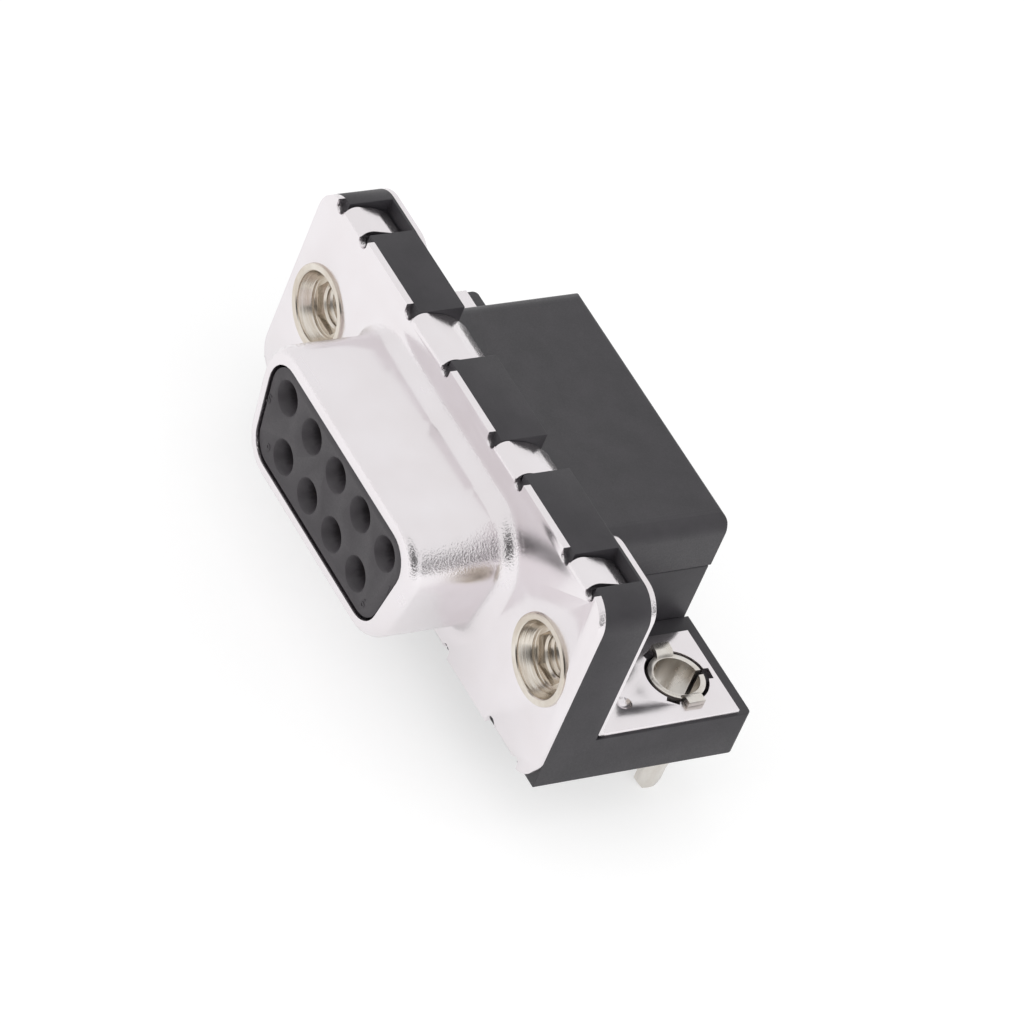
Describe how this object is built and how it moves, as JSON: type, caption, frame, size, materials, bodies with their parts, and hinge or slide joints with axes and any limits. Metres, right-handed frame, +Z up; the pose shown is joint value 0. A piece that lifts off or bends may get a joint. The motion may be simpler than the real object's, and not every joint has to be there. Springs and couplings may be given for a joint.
{
  "type": "d-sub connector",
  "caption": "Right-angle board-mount socket connector with a D-shaped metal shell, moulded body, threaded inserts, angle brackets and snap-in board locks.",
  "frame": {"origin": "centre of the D on the front face of the metal flange, midway between the two jackscrew inserts", "axes": "+X along the flange to the right seen from the mating side, +Y from the mating face to the rear, +Z up, away from the board"},
  "size_m": [0.0308, 0.0186, 0.0162],
  "materials": {
    "tin_plate": "bright tin plate on drawn steel, grained at the bends",
    "bracket_plate": "smooth tin plate",
    "lock_metal": "tin-plated copper alloy, dull",
    "insert_metal": "nickel-plated, turned",
    "housing_plastic": "glass-filled moulded plastic, fine matte",
    "insulator_plastic": "moulded plastic, fine matte",
    "contact_gold": "gold flash over nickel"
  },
  "bodies": {
    "root": {"front_shell": "tin_plate", "front_insulator": "insulator_plastic", "housing": "housing_plastic", "tail_spacer": "housing_plastic", "bracket_left": "bracket_plate", "bracket_right": "bracket_plate", "insert_left": "insert_metal", "insert_right": "insert_metal", "board_lock_left": "lock_metal", "board_lock_right": "lock_metal", "contact_1": "contact_gold", "contact_2": "contact_gold", "contact_3": "contact_gold", "contact_4": "contact_gold", "contact_5": "contact_gold", "contact_6": "contact_gold", "contact_7": "contact_gold", "contact_8": "contact_gold", "contact_9": "contact_gold"}
  },
  "joints": []
}
